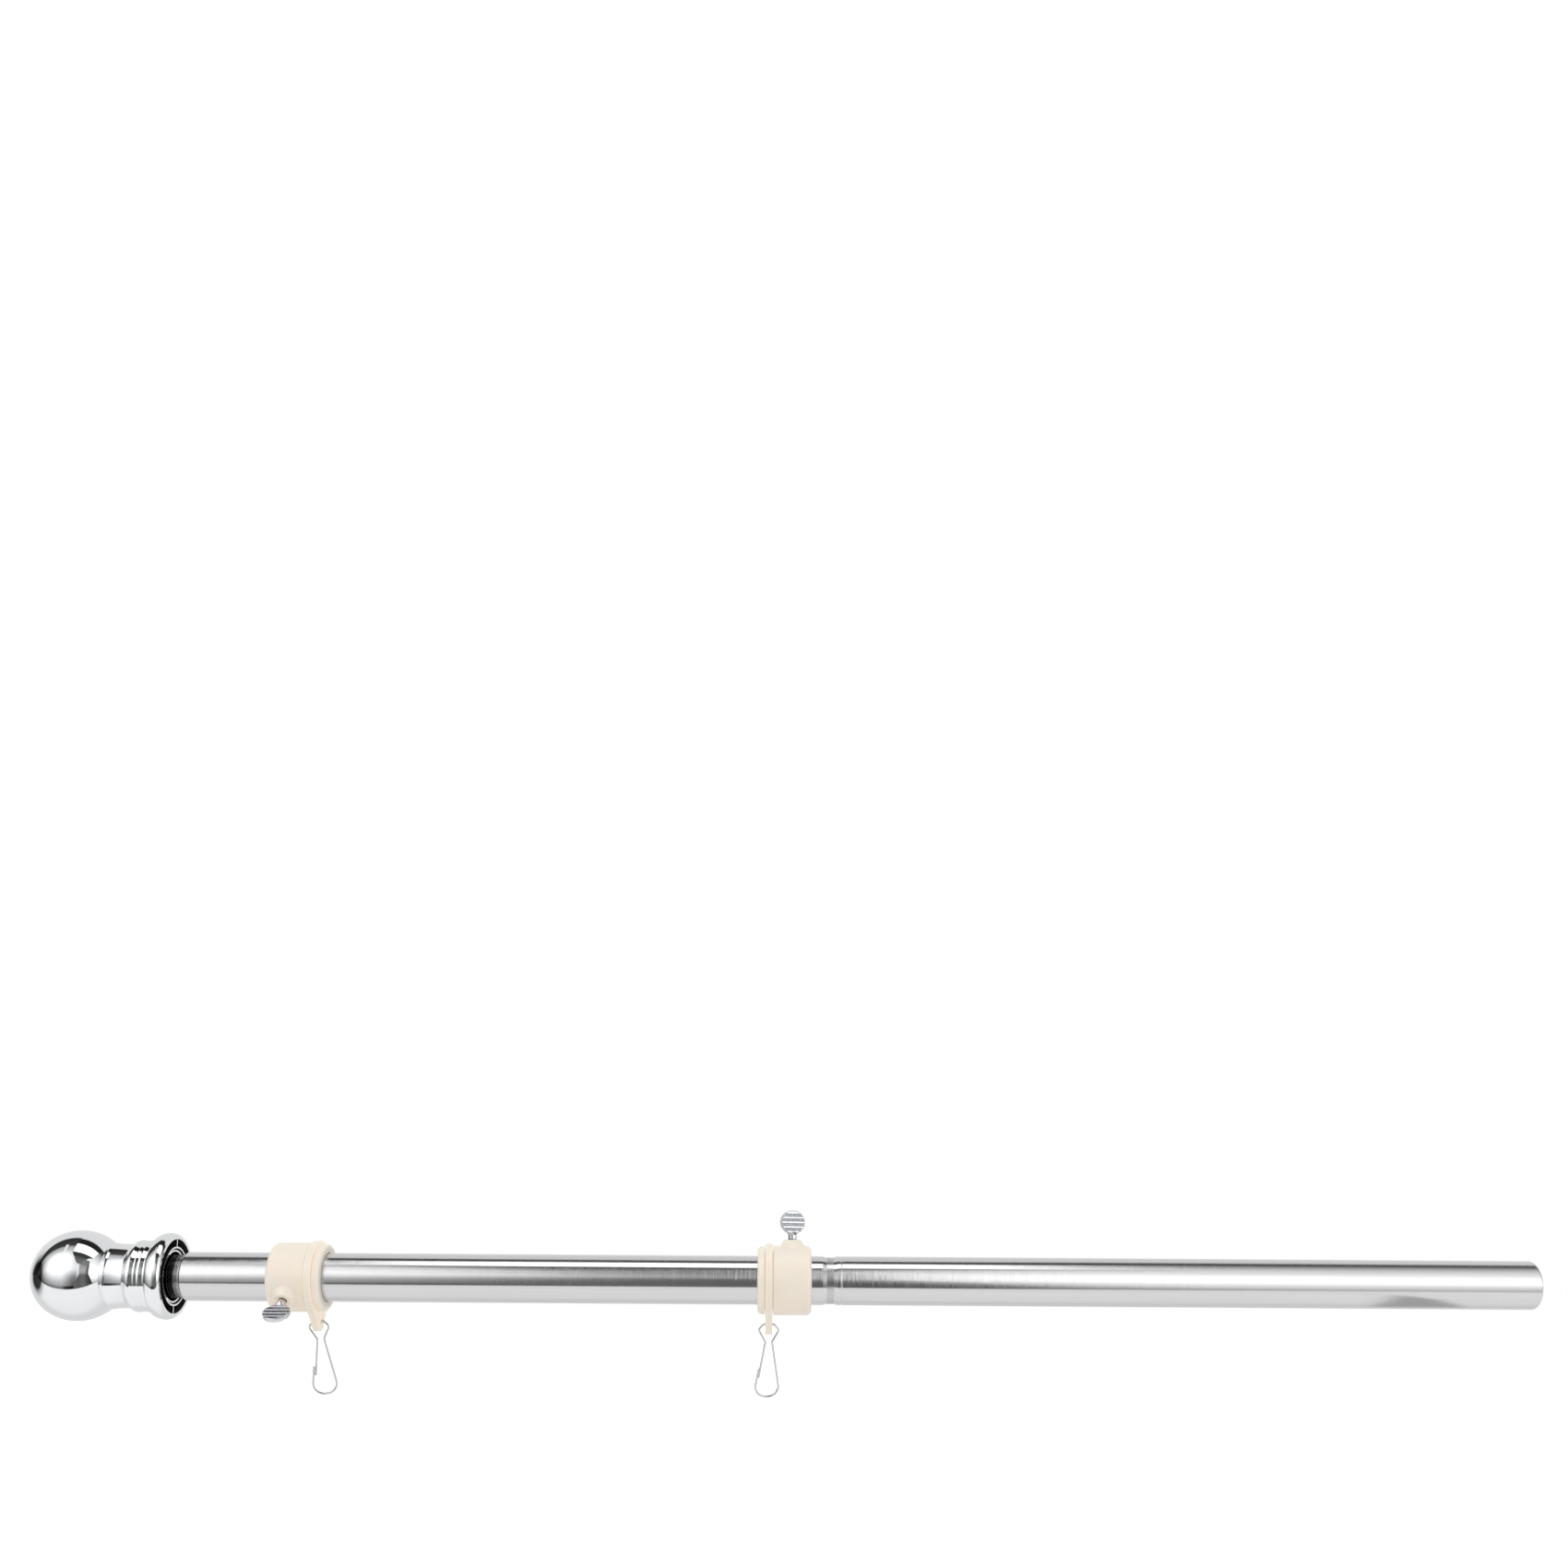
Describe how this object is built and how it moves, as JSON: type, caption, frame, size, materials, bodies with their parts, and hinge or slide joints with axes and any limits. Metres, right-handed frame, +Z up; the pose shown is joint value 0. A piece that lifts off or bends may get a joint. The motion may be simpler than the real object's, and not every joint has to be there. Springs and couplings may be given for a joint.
{
  "type": "handheld flagpole",
  "caption": "Straight two-section polished steel flagpole with a ball finial and two swivelling clamp rings that carry wire snap hooks.",
  "frame": {"origin": "middle of the open butt end, where a bracket's socket would stop", "axes": "+X along the pole and out of the butt, +Z up with the hooks hanging towards -Z and a little back, -Y towards the viewer"},
  "size_m": [0.785, 0.0535, 0.0984],
  "materials": {
    "polished_steel": "polished",
    "turned_steel": "satin",
    "plated_chrome": "polished",
    "ivory_plastic": "satin",
    "zinc_plate": "gloss",
    "nickel_wire": "gloss"
  },
  "bodies": {
    "pole": {"lower_tube": "polished_steel", "upper_tube": "polished_steel", "joint_ferrule": "turned_steel", "finial_ball": "plated_chrome", "finial_cup": "plated_chrome", "finial_sleeve": "plated_chrome", "finial_plug": "turned_steel"},
    "upper_collar_body": {"upper_collar": "ivory_plastic", "upper_flange": "ivory_plastic"},
    "upper_swivel_body": {"upper_swivel": "ivory_plastic"},
    "upper_hook_body": {"upper_hook": "nickel_wire"},
    "upper_screw_body": {"upper_thumbscrew": "zinc_plate"},
    "lower_collar_body": {"lower_collar": "ivory_plastic", "lower_flange": "ivory_plastic"},
    "lower_swivel_body": {"lower_swivel": "ivory_plastic"},
    "lower_hook_body": {"lower_hook": "nickel_wire"},
    "lower_screw_body": {"lower_thumbscrew": "zinc_plate"}
  },
  "joints": [
    {"name": "upper_collar_slide", "type": "slide", "parent": "pole", "child": "upper_collar_body", "axis": [1, 0, 0], "range_m": [-0.0442, 0.10955]},
    {"name": "upper_swivel_turn", "type": "hinge", "parent": "upper_collar_body", "child": "upper_swivel_body", "pos_m": [-0.63705, 0, 0], "axis": [1, 0, 0], "continuous": true},
    {"name": "upper_hook_swing", "type": "hinge", "parent": "upper_swivel_body", "child": "upper_hook_body", "pos_m": [-0.63705, 0.00487, -0.02289], "axis": [1, 0, 0], "range_deg": [-98, 82]},
    {"name": "upper_screw_turn", "type": "hinge", "parent": "upper_collar_body", "child": "upper_screw_body", "pos_m": [-0.64915, 0, 0], "axis": [0, -0.7986, -0.6018], "continuous": true},
    {"name": "lower_collar_slide", "type": "slide", "parent": "pole", "child": "lower_collar_body", "axis": [1, 0, 0], "range_m": [-0.10955, 0.3681]},
    {"name": "lower_swivel_turn", "type": "hinge", "parent": "lower_collar_body", "child": "lower_swivel_body", "pos_m": [-0.40005, 0, 0], "axis": [1, 0, 0], "continuous": true},
    {"name": "lower_hook_swing", "type": "hinge", "parent": "lower_swivel_body", "child": "lower_hook_body", "pos_m": [-0.40005, 0.00487, -0.02289], "axis": [1, 0, 0], "range_deg": [-98, 82]},
    {"name": "lower_screw_turn", "type": "hinge", "parent": "lower_collar_body", "child": "lower_screw_body", "pos_m": [-0.38795, 0, 0], "axis": [0, 0, 1], "continuous": true}
  ]
}
